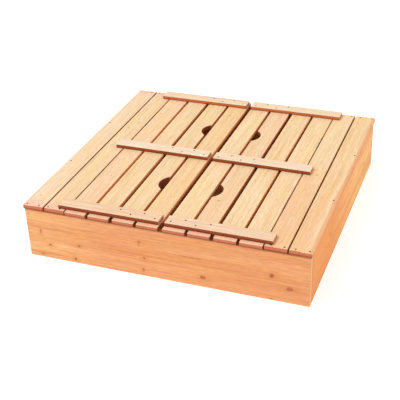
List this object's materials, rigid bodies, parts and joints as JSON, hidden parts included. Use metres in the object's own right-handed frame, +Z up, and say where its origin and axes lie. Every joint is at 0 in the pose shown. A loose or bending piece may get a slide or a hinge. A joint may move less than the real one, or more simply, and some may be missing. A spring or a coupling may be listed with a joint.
{
  "type": "covered sandbox with fold-out benches",
  "caption": "Low square timber sandbox with a slatted split lid; each half folds outward into a bench seat with a backrest and has half-moon finger holes.",
  "frame": {"origin": "centre of the footprint, on the ground", "axes": "+X right, +Y from the front wall to the back wall, +Z up; boards run along Y and the lid halves hinge about Y"},
  "size_m": [1.181, 1.181, 0.255],
  "materials": {
    "wall_timber": "knotty softwood board, warm orange-brown, smooth planed, uncoated",
    "deck_timber": "pale cedar board, straight grain, planed, uncoated",
    "batten_timber": "pale cedar batten, straight grain, planed, uncoated",
    "hinge_steel": "pressed steel, bronze-tone plating, satin",
    "zinc_screws": "plated wood screw, dulled, cross recess"
  },
  "bodies": {
    "base": {"back_wall": "wall_timber", "fixed_board_screws": "zinc_screws", "front_wall": "wall_timber", "left_fixed_inner_board": "deck_timber", "left_fixed_outer_board": "deck_timber", "left_seat_hinge_fixed_leaf_back": "hinge_steel", "left_seat_hinge_fixed_leaf_front": "hinge_steel", "left_wall": "wall_timber", "right_fixed_inner_board": "deck_timber", "right_fixed_outer_board": "deck_timber", "right_seat_hinge_fixed_leaf_back": "hinge_steel", "right_seat_hinge_fixed_leaf_front": "hinge_steel", "right_wall": "wall_timber", "seat_hinge_fixed_leaf_screws": "zinc_screws", "seat_hinge_pins": "hinge_steel", "wall_screws": "zinc_screws"},
    "left_seat": {"left_back_hinge_pins": "hinge_steel", "left_back_hinge_strap_front": "hinge_steel", "left_back_hinge_strap_middle": "hinge_steel", "left_back_hinge_strap_rear": "hinge_steel", "left_back_hinge_strap_screws": "zinc_screws", "left_seat_hinge_moving_leaf_back": "hinge_steel", "left_seat_hinge_moving_leaf_front": "hinge_steel", "left_seat_hinge_moving_leaf_screws": "zinc_screws", "left_seat_inner_board": "deck_timber", "left_seat_outer_board": "deck_timber"},
    "left_back": {"left_back_hinge_flap_front": "hinge_steel", "left_back_hinge_flap_middle": "hinge_steel", "left_back_hinge_flap_rear": "hinge_steel", "left_back_hinge_flap_screws": "zinc_screws", "left_back_inner_board": "deck_timber", "left_back_outer_board": "deck_timber", "left_batten_front": "batten_timber", "left_batten_middle": "batten_timber", "left_batten_rear": "batten_timber", "left_batten_screws": "zinc_screws"},
    "right_seat": {"right_back_hinge_pins": "hinge_steel", "right_back_hinge_strap_front": "hinge_steel", "right_back_hinge_strap_middle": "hinge_steel", "right_back_hinge_strap_rear": "hinge_steel", "right_back_hinge_strap_screws": "zinc_screws", "right_seat_hinge_moving_leaf_back": "hinge_steel", "right_seat_hinge_moving_leaf_front": "hinge_steel", "right_seat_hinge_moving_leaf_screws": "zinc_screws", "right_seat_inner_board": "deck_timber", "right_seat_outer_board": "deck_timber"},
    "right_back": {"right_back_hinge_flap_front": "hinge_steel", "right_back_hinge_flap_middle": "hinge_steel", "right_back_hinge_flap_rear": "hinge_steel", "right_back_hinge_flap_screws": "zinc_screws", "right_back_inner_board": "deck_timber", "right_back_outer_board": "deck_timber", "right_batten_front": "batten_timber", "right_batten_middle": "batten_timber", "right_batten_rear": "batten_timber", "right_batten_screws": "zinc_screws"}
  },
  "joints": [
    {"name": "left_seat_flip", "type": "hinge", "parent": "base", "child": "left_seat", "pos_m": [-0.406, 0, 0.23825], "axis": [0, -1, 0], "range_deg": [0, 180]},
    {"name": "left_back_fold", "type": "hinge", "parent": "left_seat", "child": "left_back", "pos_m": [-0.207, 0, 0.2175], "axis": [0, 1, 0], "range_deg": [0, 84]},
    {"name": "right_seat_flip", "type": "hinge", "parent": "base", "child": "right_seat", "pos_m": [0.406, 0, 0.23825], "axis": [0, 1, 0], "range_deg": [0, 180]},
    {"name": "right_back_fold", "type": "hinge", "parent": "right_seat", "child": "right_back", "pos_m": [0.207, 0, 0.2175], "axis": [0, -1, 0], "range_deg": [0, 84]}
  ],
  "couplings": [
    {"joint": "left_back_fold", "follows": "left_seat_flip", "ratio": 0.465},
    {"joint": "right_back_fold", "follows": "right_seat_flip", "ratio": 0.465}
  ]
}
